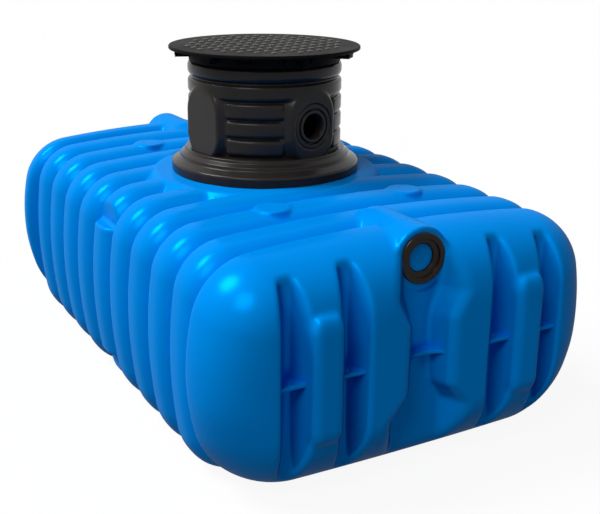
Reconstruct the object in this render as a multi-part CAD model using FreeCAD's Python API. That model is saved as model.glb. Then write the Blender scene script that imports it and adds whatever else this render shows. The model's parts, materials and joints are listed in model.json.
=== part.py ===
import FreeCAD
import Part
import math
import os

V = FreeCAD.Vector

# Shell, mm. The length runs along Y, the flat underside is Z = 0, the shown end faces -Y.
LENGTH = 2110.0
WIDTH = 1350.0
HEIGHT = 735.0
WALL = 7.0
ROOF_CROWN = 22.0
SIDE_CROWN = 15.0

# Ribs round the shell, drawn in at the sides, and the rounded ends beyond them
RIB_COUNT = 9
RIB_PITCH = 175.5
RIB_DEPTH = 48.0
RIB_POWER = 3.0
RIB_STATIONS = (-1.0, -0.8, -0.5, 0.0, 0.5, 0.8, 1.0)
RIB_SET_IN = 19.0
RIB_CORNER_R = 165.0
END_UPPER_R = 200.0
END_LOWER_R = 267.0
END_ROUNDING = 194.0
END_BOW = 20.0
END_RISE = 50.0
END_POWER = 2.2
END_STATIONS = (1.0, 0.55, 0.0)

# Upright grooves and pilasters of an end wall
GROOVE_X = (258.0, 440.0)
GROOVE_FLOOR_W = 44.0
GROOVE_MOUTH_W = 88.0
GROOVE_DEPTH = 95.0
PILASTER_W = 92.0
PILASTER_Z = (210.0, 600.0)
PILASTER_PROUD = 8.0
PILASTER_R = 30.0

# Middle channel of an end wall: heights of its steps, half widths at the floor and at the mouth
CHANNEL_DEPTH = 80.0
CHANNEL_Z = (205.0, 277.0, 490.0, 567.0)
CHANNEL_FLOOR = (84.0, 26.0, 26.0, 100.0)
CHANNEL_MOUTH = (140.0, 80.0, 80.0, 132.0)

# Level webs across the grooves, with a lashing eye, and across the channel
WEB_Z = 371.0
WEB_T = 12.0
WEB_SET_BACK = 8.0
CHANNEL_WEB_DEPTH = 55.0
CHANNEL_WEB_BITE = 20.0
EYE_R = 8.0
EYE_SET_BACK = 36.0

# Pipe inlets: a barrel whose blank front takes a stepped rubber seal
INLET_Z = 663.0
BARREL_R = 93.0
BARREL_LENGTH = 230.0
SOCKET_R = 70.0
SOCKET_DEPTH = 18.0
SEAL_R = 76.0
SEAL_LIP_R = 57.0
SEAL_BORE_R = 41.0
SEAL_PROUD = 11.0
SEAL_FLOOR = 3.0
SEAL_ROUND = 5.0

# Notches in the shoulders of the middle rib, four roof pads and the neck with its sloping skirt
NOTCH_WALL_ANGLE = 68.0
NOTCH_LEDGE_ANGLE = 31.0
PAD_R = 58.0
PAD_X = 245.0
PAD_RIB = 3
PAD_TOP = 733.0
NECK_R = 394.0
NECK_Z = 726.0
SKIRT_H = 70.0
SKIRT_SPREAD = 73.0
MANHOLE_R = 262.0

# Access shaft on the neck: stepped flange, rings, bars between flat panels, and a pipe port
FLANGE_R = 335.0
FLANGE_H = 36.0
FLANGE_STEP = 20.0
FLANGE_TREAD = 16.0
FLANGE_ROUND = 9.0
SHAFT_R = 271.0
SHAFT_WALL = 6.0
BAR_COUNT = 3
RING_COUNT = 2
RING_FIRST_Z = 844.0
RING_PITCH = 61.0
RING_H = 46.0
RING_DEPTH = 15.0
RING_ROUND = 10.0
BAR_SPAN = 46.0
SHAFT_TURN = 10.0
PANEL_W = 180.0
PANEL_Z = (785.0, 1036.0)
PANEL_BEVEL = 24.0
PANEL_DEPTH = 40.0
PANEL_SPAN = 54.0
PORT_R = 42.0
PORT_SLEEVE_R = 55.0
PORT_SEAL_R = 76.0
PORT_SEAL_T = 34.0
PORT_RIM = 5.0
PORT_RECESS = 12.0
PORT_ROUND = 2.0

# Cover on its collar; lugs and gussets stand at (angle from -Y towards +X, width), and again half a turn on
COVER_R = 335.0
COVER_T = 12.0
COVER_ROUND = 4.0
COLLAR_R = 266.0
COLLAR_H = 37.0
COLLAR_WALL = 9.0
LUGS = ((44.0, 58.0), (69.0, 58.0), (140.0, 62.0))
LUG_H = 23.0
LUG_REACH = 312.0
GUSSETS = ((-66.0, 22.0), (-13.0, 6.0), (-2.0, 6.0), (4.0, 6.0))
GUSSET_H = 30.0
GUSSET_REACH = 34.0

# Overshoot of cutters past the faces that they cut
OVER = 20.0

RIB_END = RIB_COUNT * RIB_PITCH / 2
RIB_HALF_W = WIDTH / 2 - RIB_SET_IN
RIB_CORNER_X = RIB_HALF_W - SIDE_CROWN - RIB_CORNER_R
RIB_CORNER_Z = HEIGHT - ROOF_CROWN - RIB_CORNER_R
CHANNEL_Y = LENGTH / 2 - CHANNEL_DEPTH
GROOVE_Y = LENGTH / 2 - GROOVE_DEPTH
BOW_R = ((WIDTH / 2) ** 2 + END_BOW ** 2) / (2 * END_BOW)
FLANGE_SPLIT = NECK_Z + FLANGE_H + FLANGE_STEP
FLANGE_TOP = FLANGE_SPLIT + FLANGE_STEP
SHAFT_TOP = RING_FIRST_Z + (BAR_COUNT + RING_COUNT - 1) * RING_PITCH + RING_H / 2
RING_SPLIT = SHAFT_TOP - RING_H / 2 - RING_PITCH / 2
COVER_Z = SHAFT_TOP + COLLAR_H


def face_y(x):
    """Distance of the bowed end wall from the middle of the tank at x."""
    return LENGTH / 2 - BOW_R + math.sqrt(BOW_R ** 2 - x ** 2)


def box(x0, x1, y0, y1, z0, z1):
    return Part.makeBox(x1 - x0, y1 - y0, z1 - z0, V(x0, y0, z0))


def cylinder(radius, z0, z1, x=0.0, y=0.0):
    return Part.makeCylinder(radius, z1 - z0, V(x, y, z0))


def turned(solid, angle):
    """The solid turned about the shaft's axis."""
    one = solid.copy()
    one.rotate(V(0, 0, 0), V(0, 0, 1), angle)
    return one


def mirrored_ends(solid):
    """The solid at the -Y end and its twin at the +Y end."""
    return [solid, solid.mirror(V(0, 0, 0), V(0, 1, 0))]


def section(inset, y, half_w, upper_r, lower_r):
    """Closed cross-section of the shell at y, moved inwards by the inset."""
    upper_x = half_w - SIDE_CROWN - upper_r
    lower_x = half_w - SIDE_CROWN - lower_r
    upper_z = HEIGHT - ROOF_CROWN - upper_r
    span = upper_z - lower_r
    rise = (span ** 2 + 2 * SIDE_CROWN * (lower_r - upper_r)) / (2 * span)
    side_r = upper_r + (rise ** 2 + SIDE_CROWN ** 2) / (2 * SIDE_CROWN)
    roof_r = ((ROOF_CROWN + upper_r) ** 2 + upper_x ** 2 - upper_r ** 2) / (2 * ROOF_CROWN)
    upper_a = math.atan2(rise, side_r - SIDE_CROWN - upper_r)
    lower_a = math.atan2(span - rise, side_r - SIDE_CROWN - lower_r)
    roof_a = math.atan2(upper_z - HEIGHT + roof_r, upper_x)
    half = (
        (lower_x, lower_r, lower_r, -math.pi / 2, -lower_a),
        (half_w - side_r, upper_z - rise, side_r, -lower_a, upper_a),
        (upper_x, upper_z, upper_r, upper_a, roof_a),
    )
    arcs = list(half)
    arcs.append((0.0, HEIGHT - roof_r, roof_r, roof_a, math.pi - roof_a))
    for x, z, radius, a0, a1 in reversed(half):
        arcs.append((-x, z, radius, math.pi - a1, math.pi - a0))
    edges = []
    for x, z, radius, a0, a1 in arcs:
        points = []
        for a in (a0, (a0 + a1) / 2, a1):
            points.append(V(x + (radius - inset) * math.cos(a), y, z + (radius - inset) * math.sin(a)))
        edges.append(Part.Arc(*points).toShape())
    edges.append(Part.makeLine(V(-lower_x, y, inset), V(lower_x, y, inset)))
    return Part.Wire(edges)


def rib(inset):
    """One pillow-shaped rib round the shell, between two valleys, at y = 0."""
    stations = []
    for t in RIB_STATIONS:
        drop = RIB_DEPTH * abs(t) ** RIB_POWER
        y = t * RIB_PITCH / 2
        stations.append(section(inset + drop, y, RIB_HALF_W, RIB_CORNER_R, RIB_CORNER_R))
    return Part.makeLoft(stations, True)


def end_cap(inset):
    """Rounded, slightly bowed end of the shell at -Y, from the last valley outwards."""
    crest = -RIB_END - END_RISE
    rise = []
    for t in END_STATIONS:
        share = t ** END_POWER
        half_w = WIDTH / 2 - RIB_SET_IN * share
        upper_r = END_UPPER_R + (RIB_CORNER_R - END_UPPER_R) * share
        lower_r = END_LOWER_R + (RIB_CORNER_R - END_LOWER_R) * share
        rise.append(section(inset + RIB_DEPTH * share, crest + t * END_RISE, half_w, upper_r, lower_r))
    shoulder = Part.makeLoft(rise, True)
    face = Part.Face(section(inset, crest, WIDTH / 2, END_UPPER_R, END_LOWER_R))
    block = face.extrude(V(0, -LENGTH / 2 - crest, 0))
    bow = Part.makeCylinder(BOW_R - inset, HEIGHT * 2, V(0, BOW_R - LENGTH / 2, -HEIGHT / 2))
    block = block.common(bow)
    rim = []
    for edge in block.Edges:
        if edge.BoundBox.YMax < crest - 1.0:
            rim.append(edge)
    return shoulder.fuse(block.makeFillet(END_ROUNDING - inset, rim))


def groove(x, inset):
    """Cutter for an upright groove with slanted sides in the -Y end wall."""
    slope = (GROOVE_MOUTH_W - GROOVE_FLOOR_W) / 2 / GROOVE_DEPTH
    floor_y = -GROOVE_Y + inset
    mouth_y = -LENGTH / 2 - OVER
    floor_half = GROOVE_FLOOR_W / 2 + inset
    mouth_half = floor_half + slope * (floor_y - mouth_y)
    corners = (
        V(x - floor_half, floor_y, -OVER),
        V(x + floor_half, floor_y, -OVER),
        V(x + mouth_half, mouth_y, -OVER),
        V(x - mouth_half, mouth_y, -OVER),
        V(x - floor_half, floor_y, -OVER),
    )
    return Part.Face(Part.makePolygon(corners)).extrude(V(0, 0, HEIGHT + 2 * OVER))


def channel(inset):
    """Cutter for the middle channel that holds the inlet, waisted at half height."""
    heights = (-OVER,) + CHANNEL_Z + (HEIGHT + OVER,)
    wires = []
    for y, reach in ((-CHANNEL_Y + inset, 0.0), (-LENGTH / 2 - OVER, 1.0 + OVER / CHANNEL_DEPTH)):
        right = []
        for k, z in enumerate(heights):
            step = min(max(k - 1, 0), len(CHANNEL_Z) - 1)
            flare = CHANNEL_MOUTH[step] - CHANNEL_FLOOR[step]
            right.append(V(CHANNEL_FLOOR[step] + flare * reach + inset, y, z))
        left = [V(-p.x, y, p.z) for p in reversed(right)]
        wires.append(Part.makePolygon(right + left + right[:1]))
    return Part.makeLoft(wires, True, True)


def pilaster(x, inset):
    """Rounded upright boss between two grooves of the -Y end wall."""
    half = PILASTER_W / 2 - inset
    front = -face_y(x) - PILASTER_PROUD + inset
    boss = box(x - half, x + half, front, -GROOVE_Y, PILASTER_Z[0] + inset, PILASTER_Z[1] - inset)
    edges = []
    for edge in boss.Edges:
        if edge.CenterOfMass.y < -GROOVE_Y - 1.0:
            edges.append(edge)
    return boss.makeFillet(PILASTER_R, edges)


def barrel(inset):
    """Domed barrel over an inlet, dying into the first rib behind the end."""
    radius = BARREL_R - inset
    front = V(0, -CHANNEL_Y + inset, INLET_Z)
    tube = Part.makeCylinder(radius, BARREL_LENGTH - inset, front, V(0, 1, 0))
    return tube.fuse(Part.makeSphere(radius, V(0, BARREL_LENGTH - CHANNEL_Y, INLET_Z)))


def socket(inset):
    """Cutter for the blind round socket in a barrel's front."""
    front = V(0, -CHANNEL_Y, INLET_Z)
    return Part.makeCylinder(SOCKET_R + inset, SOCKET_DEPTH + inset, front, V(0, 1, 0))


def shoulder_notch(inset):
    """Cutter for the step in the upper right shoulder of the middle rib, down to valley depth."""
    wall = RIB_CORNER_X + RIB_CORNER_R * math.cos(math.radians(NOTCH_WALL_ANGLE)) - inset
    ledge = RIB_CORNER_Z + RIB_CORNER_R * math.sin(math.radians(NOTCH_LEDGE_ANGLE)) - inset
    half = RIB_PITCH / 2
    step = box(wall, WIDTH / 2, -half, half, ledge, HEIGHT)
    centre = V(RIB_CORNER_X, -half, RIB_CORNER_Z)
    return step.cut(Part.makeCylinder(RIB_CORNER_R - RIB_DEPTH - inset, RIB_PITCH, centre, V(0, 1, 0)))


def skin(inset):
    """Solid bounded by the shell's outside, or by its inside when inset by the wall."""
    blocks = []
    for k in range(RIB_COUNT):
        one = rib(inset)
        one.translate(V(0, (k - (RIB_COUNT - 1) / 2) * RIB_PITCH, 0))
        blocks.append(one)
    end = end_cap(inset)
    cuts = [channel(inset)]
    for side in (-1, 1):
        for x in GROOVE_X:
            cuts.append(groove(side * x, inset))
    end = end.cut(cuts)
    mid_x = sum(GROOVE_X) / 2
    end = end.fuse([pilaster(mid_x, inset), pilaster(-mid_x, inset), barrel(inset)])
    blocks += mirrored_ends(end.cut(socket(inset)))
    body = blocks[0].fuse(blocks[1:])
    right = shoulder_notch(inset)
    lower = right.mirror(V(0, 0, (HEIGHT - ROOF_CROWN) / 2), V(0, 0, 1))
    notches = []
    for one in (right, lower):
        notches += [one, one.mirror(V(0, 0, 0), V(1, 0, 0))]
    body = body.cut(notches)
    top = NECK_Z - inset
    bosses = [Part.makeCone(NECK_R + SKIRT_SPREAD - inset, NECK_R - inset, SKIRT_H, V(0, 0, top - SKIRT_H))]
    for x in (-PAD_X, PAD_X):
        for y in (-PAD_RIB * RIB_PITCH, PAD_RIB * RIB_PITCH):
            bosses.append(cylinder(PAD_R - inset, HEIGHT - 2 * RIB_DEPTH, PAD_TOP - inset, x, y))
    body = body.fuse(bosses)
    return body.cut(cylinder(NECK_R - inset, top, HEIGHT + OVER))


def groove_web(x):
    """Level web that closes a groove of the -Y end, with an eye through it."""
    front = -face_y(x) + WEB_SET_BACK
    slab = box(x - GROOVE_MOUTH_W, x + GROOVE_MOUTH_W, front, -GROOVE_Y, WEB_Z, WEB_Z + WEB_T)
    return slab.common(groove(x, 0.0)).cut(cylinder(EYE_R, WEB_Z - OVER, WEB_Z + OVER, x, front + EYE_SET_BACK))


def channel_web():
    """Level web across the waist of the -Y channel, its free edge hollowed."""
    front = -CHANNEL_Y - CHANNEL_WEB_DEPTH
    half = max(CHANNEL_MOUTH)
    slab = box(-half, half, front, -CHANNEL_Y, WEB_Z, WEB_Z + WEB_T).common(channel(0.0))
    reach = slab.BoundBox.XLength / 2
    radius = (reach ** 2 + CHANNEL_WEB_BITE ** 2) / (2 * CHANNEL_WEB_BITE)
    return slab.cut(cylinder(radius, WEB_Z - OVER, WEB_Z + OVER, 0.0, front + CHANNEL_WEB_BITE - radius))


def revolved(outline):
    """Full turn of a closed outline of (radius, z) corners about Z."""
    corners = [V(r, 0, z) for r, z in outline]
    face = Part.Face(Part.makePolygon(corners + corners[:1]))
    return face.revolve(V(0, 0, 0), V(0, 0, 1), 360)


def rounded_rims(solid, rims, rounding):
    """The solid with those of its circular edges rounded that are listed as (radius, z)."""
    edges = []
    for edge in solid.Edges:
        span = edge.BoundBox
        for radius, z in rims:
            if abs(span.XMax - radius) < 0.1 and abs(span.ZMin - z) < 0.1 and span.ZLength < 0.1:
                edges.append(edge)
    return solid.makeFillet(rounding, edges)


def inlet_seal():
    """Stepped rubber seal of the -Y inlet, seated in its socket."""
    ring = revolved((
        (SEAL_BORE_R, -SOCKET_DEPTH),
        (SOCKET_R, -SOCKET_DEPTH),
        (SOCKET_R, 0.0),
        (SEAL_R, 0.0),
        (SEAL_R, SEAL_PROUD),
        (SEAL_LIP_R, SEAL_PROUD),
        (SEAL_LIP_R, SEAL_FLOOR),
        (SEAL_BORE_R, SEAL_FLOOR),
    ))
    ring = rounded_rims(ring, ((SEAL_R, SEAL_PROUD), (SEAL_LIP_R, SEAL_PROUD)), SEAL_ROUND)
    ring.rotate(V(0, 0, 0), V(1, 0, 0), 90)
    ring.translate(V(0, -CHANNEL_Y, INLET_Z))
    return ring


def port_seal():
    """Sleeved seal of the shaft's port, in the plane of the -Y panel, with a groove round the sleeve."""
    ring = revolved((
        (PORT_R, 0.0),
        (PORT_SEAL_R, 0.0),
        (PORT_SEAL_R, PORT_SEAL_T),
        (PORT_SEAL_R - PORT_RIM, PORT_SEAL_T),
        (PORT_SEAL_R - PORT_RIM, PORT_SEAL_T - PORT_RECESS),
        (PORT_SLEEVE_R, PORT_SEAL_T - PORT_RECESS),
        (PORT_SLEEVE_R, PORT_SEAL_T),
        (PORT_R, PORT_SEAL_T),
    ))
    ring = rounded_rims(ring, ((PORT_R, PORT_SEAL_T), (PORT_SLEEVE_R, PORT_SEAL_T)), PORT_ROUND)
    ring.rotate(V(0, 0, 0), V(1, 0, 0), 90)
    ring.translate(V(0, PORT_SEAL_T - SHAFT_R, sum(PANEL_Z) / 2))
    return ring


def panel(inset):
    """Flat stadium-shaped panel on the -Y side of the shaft, with bevelled flanks."""
    wires = []
    top = PANEL_Z[1] - PANEL_W / 2
    low = PANEL_Z[0] + PANEL_W / 2
    for depth in (0.0, PANEL_DEPTH):
        half = PANEL_W / 2 - inset + PANEL_BEVEL * depth / PANEL_DEPTH
        y = depth + inset - SHAFT_R
        upper = Part.Arc(V(half, y, top), V(0, y, top + half), V(-half, y, top)).toShape()
        lower = Part.Arc(V(-half, y, low), V(0, y, low - half), V(half, y, low)).toShape()
        left = Part.makeLine(V(-half, y, top), V(-half, y, low))
        right = Part.makeLine(V(half, y, low), V(half, y, top))
        wires.append(Part.Wire([upper, left, lower, right]))
    return Part.makeLoft(wires, True, True)


def wedge(middle, span, z0, z1):
    """Sector about the shaft's axis, its middle at an angle from -Y towards +X."""
    sector = Part.makeCylinder(COVER_R, z1 - z0, V(0, 0, z0), V(0, 0, 1), span)
    return turned(sector, middle - span / 2 - 90.0)


def ring(middle_z, inset):
    """Rounded ring round the shaft."""
    radius = SHAFT_R - inset
    low = middle_z - RING_H / 2 + inset
    high = middle_z + RING_H / 2 - inset
    return rounded_rims(cylinder(radius, low, high), ((radius, low), (radius, high)), RING_ROUND - inset / 2)


def shaft_skin(inset):
    """Solid bounded by the shaft's outside, or by its inside when inset by the wall."""
    steps = (
        (FLANGE_R - inset, NECK_Z + FLANGE_H - inset),
        (FLANGE_R - FLANGE_TREAD - inset, FLANGE_SPLIT - inset),
        (SHAFT_R + FLANGE_TREAD - inset, FLANGE_TOP - inset),
    )
    foot = [(0.0, NECK_Z)]
    z = NECK_Z
    for radius, top in steps:
        foot += [(radius, z), (radius, top)]
        z = top
    foot.append((0.0, z))
    base = rounded_rims(revolved(foot), steps, FLANGE_ROUND)
    pieces = [cylinder(SHAFT_R - RING_DEPTH - inset, NECK_Z, SHAFT_TOP)]
    span = BAR_SPAN - math.degrees(2 * inset / SHAFT_R)
    for k in range(BAR_COUNT + RING_COUNT):
        one = ring(RING_FIRST_Z + k * RING_PITCH, inset)
        if k < BAR_COUNT:
            low = FLANGE_SPLIT
            pieces += [one.common(wedge(SHAFT_TURN + 45.0 + 90.0 * n, span, low, SHAFT_TOP)) for n in range(4)]
        else:
            pieces.append(one)
    for k in range(4):
        pieces.append(turned(panel(inset), SHAFT_TURN + 90.0 * k))
    return base.fuse(pieces)


def tank_nodes():
    """Shell of the tank, parted at valleys and along its length into walls, roof and floor."""
    shell = skin(0.0).cut(skin(WALL))
    x_c = RIB_CORNER_X
    far = LENGTH
    mid = HEIGHT / 2
    neck_y = (round(NECK_R / RIB_PITCH) + 0.5) * RIB_PITCH
    neck_zone = cylinder(NECK_R, mid, HEIGHT + OVER)
    roof = shell.common(box(-x_c, x_c, -RIB_END, RIB_END, mid, far)).cut(neck_zone)
    nodes = {
        "front_end": shell.common(box(-far, far, -far, -RIB_END, -OVER, far)),
        "rear_end": shell.common(box(-far, far, RIB_END, far, -OVER, far)),
        "floor": shell.common(box(-x_c, x_c, -RIB_END, RIB_END, -OVER, mid)),
        "neck": shell.common(neck_zone).cut(cylinder(MANHOLE_R, mid, HEIGHT)),
        "roof_front": roof.common(box(-x_c, x_c, -RIB_END, -neck_y, mid, far)),
        "roof_rear": roof.common(box(-x_c, x_c, neck_y, RIB_END, mid, far)),
    }
    for side, x0, x1, roof_x0, roof_x1 in (("left", -far, -x_c, -x_c, 0.0), ("right", x_c, far, 0.0, x_c)):
        nodes[side + "_wall"] = shell.common(box(x0, x1, -RIB_END, RIB_END, RIB_CORNER_R, RIB_CORNER_Z))
        nodes[side + "_lower_shoulder"] = shell.common(box(x0, x1, -RIB_END, RIB_END, -OVER, RIB_CORNER_R))
        nodes[side + "_upper_shoulder"] = shell.common(box(x0, x1, -RIB_END, RIB_END, RIB_CORNER_Z, far))
        nodes["roof_front_" + side] = roof.common(box(roof_x0, roof_x1, -neck_y, 0.0, mid, far))
        nodes["roof_rear_" + side] = roof.common(box(roof_x0, roof_x1, 0.0, neck_y, mid, far))
    return nodes


def end_nodes():
    """Webs and inlet seals of both ends."""
    webs = [channel_web()]
    for side in (-1, 1):
        for x in GROOVE_X:
            webs.append(groove_web(side * x))
    nodes = {}
    for name, solid in (("webs", Part.Compound(webs)), ("inlet_seal", inlet_seal())):
        nodes["front_" + name], nodes["rear_" + name] = mirrored_ends(solid)
    return nodes


def shaft_nodes():
    """Access shaft: flange, four panels, the barred walls between them and the top ring."""
    bore = cylinder(SHAFT_R - RING_DEPTH - SHAFT_WALL, NECK_Z - OVER, SHAFT_TOP + OVER)
    shell = shaft_skin(0.0).cut([shaft_skin(SHAFT_WALL), bore])
    port = Part.makeCylinder(PORT_SEAL_R, SHAFT_R, V(0, 0, sum(PANEL_Z) / 2), V(0, -1, 0))
    nodes = {
        "shaft_flange": shell.common(cylinder(2 * FLANGE_R, NECK_Z, FLANGE_SPLIT)),
        "shaft_top_ring": shell.common(cylinder(2 * FLANGE_R, RING_SPLIT, SHAFT_TOP)),
        "shaft_port_seal": turned(port_seal(), SHAFT_TURN),
    }
    names = ("port_panel", "right_panel", "rear_panel", "left_panel")
    walls = ("front_right_wall", "rear_right_wall", "rear_left_wall", "front_left_wall")
    for k in range(4):
        turn = SHAFT_TURN + 90.0 * k
        nodes["shaft_" + names[k]] = shell.common(wedge(turn, PANEL_SPAN, FLANGE_SPLIT, RING_SPLIT))
        nodes["shaft_" + walls[k]] = shell.common(wedge(turn + 45.0, 90.0 - PANEL_SPAN, FLANGE_SPLIT, RING_SPLIT))
    nodes["shaft_port_panel"] = nodes["shaft_port_panel"].cut(turned(port, SHAFT_TURN))
    return nodes


def lug(width):
    """Block under the cover's rim on the -Y side, against the collar."""
    block = box(-width / 2, width / 2, -LUG_REACH, 0.0, COVER_Z - LUG_H, COVER_Z)
    return block.cut(cylinder(COLLAR_R, SHAFT_TOP, COVER_Z))


def gusset(width):
    """Triangular gusset between the collar and the cover's rim on the -Y side."""
    corners = (
        V(-width / 2, 0.0, COVER_Z),
        V(-width / 2, -COLLAR_R - GUSSET_REACH, COVER_Z),
        V(-width / 2, -COLLAR_R, COVER_Z - GUSSET_H),
        V(-width / 2, 0.0, COVER_Z - GUSSET_H),
        V(-width / 2, 0.0, COVER_Z),
    )
    wing = Part.Face(Part.makePolygon(corners)).extrude(V(width, 0, 0))
    return wing.cut(cylinder(COLLAR_R, SHAFT_TOP, COVER_Z))


def cover_nodes():
    """Cover plate, the collar that carries it, and the lugs and gussets under its rim."""
    top = COVER_Z + COVER_T
    plate = rounded_rims(cylinder(COVER_R, COVER_Z, top), ((COVER_R, COVER_Z), (COVER_R, top)), COVER_ROUND)
    collar = cylinder(COLLAR_R, SHAFT_TOP, COVER_Z)
    lugs = []
    gussets = []
    for half_turn in (0.0, 180.0):
        lugs += [turned(lug(width), angle + half_turn) for angle, width in LUGS]
        gussets += [turned(gusset(width), angle + half_turn) for angle, width in GUSSETS]
    return {
        "cover": plate,
        "cover_collar": collar.cut(cylinder(COLLAR_R - COLLAR_WALL, SHAFT_TOP, COVER_Z)),
        "cover_lugs": Part.Compound(lugs),
        "cover_gussets": Part.Compound(gussets),
    }


def main():
    os.makedirs("parts", exist_ok=True)
    for group in (tank_nodes(), end_nodes(), shaft_nodes(), cover_nodes()):
        for name, shape in group.items():
            shape.exportStep("parts/" + name + ".step")


main()
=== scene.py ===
"""Finished look of the flat ribbed rainwater tank, its access shaft and its tread-plate cover."""
import functools
import json
import logging
import math
from dataclasses import dataclass
from enum import Enum
from typing import Callable, Dict, List, Optional, Sequence, Tuple

import bmesh
import bpy
import numpy as np
from mathutils import Matrix, Vector


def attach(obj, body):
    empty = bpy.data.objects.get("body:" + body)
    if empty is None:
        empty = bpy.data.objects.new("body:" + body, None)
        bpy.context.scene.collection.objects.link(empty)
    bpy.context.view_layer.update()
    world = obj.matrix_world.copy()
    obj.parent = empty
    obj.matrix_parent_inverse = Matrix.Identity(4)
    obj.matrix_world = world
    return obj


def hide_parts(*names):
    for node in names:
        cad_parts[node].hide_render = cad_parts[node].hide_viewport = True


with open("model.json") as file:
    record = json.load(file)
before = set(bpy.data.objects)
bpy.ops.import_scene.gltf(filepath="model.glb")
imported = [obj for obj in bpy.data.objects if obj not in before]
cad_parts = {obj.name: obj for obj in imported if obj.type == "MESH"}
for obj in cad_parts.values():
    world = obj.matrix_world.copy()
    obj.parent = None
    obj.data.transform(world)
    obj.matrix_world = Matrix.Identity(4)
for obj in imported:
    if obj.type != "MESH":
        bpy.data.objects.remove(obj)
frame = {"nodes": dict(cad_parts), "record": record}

MM = 0.001
EDGE_SHARE = 0.45
HOLD_LEAST, HOLD_SHARE, HOLD_MOST = 0.4, 0.04, 1.2
LOG = logging.getLogger("rainwater_tank")
Array = np.ndarray
Field = Callable[[Array, Array, Array], Array]
Corner = Tuple[float, float, float]


class Slot(Enum):
    """Material slots of the record."""

    TANK = "tank_plastic"
    SEAL = "seal_rubber"
    SHAFT = "shaft_plastic"
    COVER = "cover_plastic"


def linear(code: str) -> Tuple[float, float, float, float]:
    """Turns an sRGB hex colour to linear light.

    Args:
        code: six hex digits with a leading hash.

    Returns:
        Red, green, blue and an alpha of 1.
    """
    levels = [int(code[i:i + 2], 16) / 255 for i in (1, 3, 5)]
    straight = [v / 12.92 if v <= 0.04045 else ((v + 0.055) / 1.055) ** 2.4 for v in levels]
    return (straight[0], straight[1], straight[2], 1.0)


def add_node(tree: bpy.types.NodeTree, kind: str, links: Optional[Dict[str, object]] = None,
             inputs: Optional[Dict[str, object]] = None, **settings: object) -> bpy.types.Node:
    """Adds one node with its settings, constant inputs and incoming links.

    Args:
        tree: node tree that gets the node.
        kind: bl_idname of the node.
        links: input name or index to the output socket that feeds it.
        inputs: input name or index to a constant.
        settings: properties of the node itself.

    Returns:
        The new node.
    """
    node = tree.nodes.new(kind)
    for name, value in settings.items():
        setattr(node, name, value)
    for name, value in (inputs or {}).items():
        node.inputs[name].default_value = value
    for name, socket in (links or {}).items():
        tree.links.new(socket, node.inputs[name])
    return node


@dataclass(frozen=True)
class MouldedFinish:
    """Moulded plastic or rubber: a tone that drifts slowly and a fine grain left by the mould.

    The drift keeps large faces from looking flat, and the grain softens the highlights.
    """

    name: str
    colour: str
    drift_colour: str
    roughness: float
    specular: float
    drift_mm: float
    grain_mm: float
    grain_depth_mm: float = 0.03
    rough_spread: float = 0.03
    sheen_share: float = 0.0
    drift_detail: float = 3.0
    drift_roughness: float = 0.55
    grain_detail: float = 2.0
    tone_span: Tuple[float, float] = (0.3, 0.62)
    rough_span: Tuple[float, float] = (0.3, 0.7)

    def make(self) -> bpy.types.Material:
        """Builds the node material.

        Returns:
            The new material.
        """
        material = bpy.data.materials.new(self.name)
        material.use_nodes = True
        tree = material.node_tree
        shader = tree.nodes["Principled BSDF"]
        shader.inputs["Specular IOR Level"].default_value = self.specular
        shader.inputs["Metallic"].default_value = self.sheen_share
        place = add_node(tree, "ShaderNodeTexCoord")
        drift = add_node(tree, "ShaderNodeTexNoise", {"Vector": place.outputs["Object"]},
                         {"Scale": 1.0 / (self.drift_mm * MM), "Detail": self.drift_detail,
                          "Roughness": self.drift_roughness})
        tone = add_node(tree, "ShaderNodeValToRGB", {"Fac": drift.outputs["Fac"]})
        for k, code in enumerate((self.drift_colour, self.colour)):
            tone.color_ramp.elements[k].position = self.tone_span[k]
            tone.color_ramp.elements[k].color = linear(code)
        rough = add_node(tree, "ShaderNodeMapRange", {"Value": drift.outputs["Fac"]},
                         {"From Min": self.rough_span[0], "From Max": self.rough_span[1],
                          "To Min": self.roughness - self.rough_spread,
                          "To Max": self.roughness + self.rough_spread})
        grain = add_node(tree, "ShaderNodeTexNoise", {"Vector": place.outputs["Object"]},
                         {"Scale": 1.0 / (self.grain_mm * MM), "Detail": self.grain_detail})
        bump = add_node(tree, "ShaderNodeBump", {"Height": grain.outputs["Fac"]},
                        {"Strength": 1.0, "Distance": self.grain_depth_mm * MM})
        tree.links.new(tone.outputs["Color"], shader.inputs["Base Color"])
        tree.links.new(rough.outputs["Result"], shader.inputs["Roughness"])
        tree.links.new(bump.outputs["Normal"], shader.inputs["Normal"])
        return material


TANK_POLYETHYLENE = MouldedFinish("blue_moulded_polyethylene", "#0090F0", "#008BE8", roughness=0.25,
                                  specular=0.0, drift_mm=420.0, grain_mm=9.0, grain_depth_mm=0.04,
                                  rough_spread=0.02, sheen_share=0.11)
SHAFT_POLYPROPYLENE = MouldedFinish("black_moulded_polypropylene", "#2A2623", "#25211F", roughness=0.24,
                                    specular=0.14, drift_mm=160.0, grain_mm=5.0)
COVER_POLYPROPYLENE = MouldedFinish("dark_cover_polypropylene", "#181716", "#141312", roughness=0.50,
                                    specular=0.02, drift_mm=120.0, grain_mm=4.0, rough_spread=0.05)
# Painted highlight: the tread bumps get a lighter copy of the cover plastic, which stands in for the
# highlights that they catch.
TREAD_PAINTED_HIGHLIGHT = MouldedFinish("painted_highlight_tread_polypropylene", "#5A5856", "#524F4D", roughness=0.40,
                                    specular=0.30, drift_mm=120.0, grain_mm=4.0, grain_depth_mm=0.02,
                                    rough_spread=0.05)
SEAL_RUBBER = MouldedFinish("black_seal_rubber", "#20150E", "#1B110B", roughness=0.28, specular=0.14,
                            drift_mm=60.0, grain_mm=3.0, grain_depth_mm=0.02)


def soft_max(a: Array, b: Array, reach: float) -> Array:
    """Larger of two fields, with the crease between them rounded over reach."""
    h = np.clip(0.5 + 0.5 * (a - b) / reach, 0.0, 1.0)
    return b + (a - b) * h + reach * h * (1.0 - h)


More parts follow.
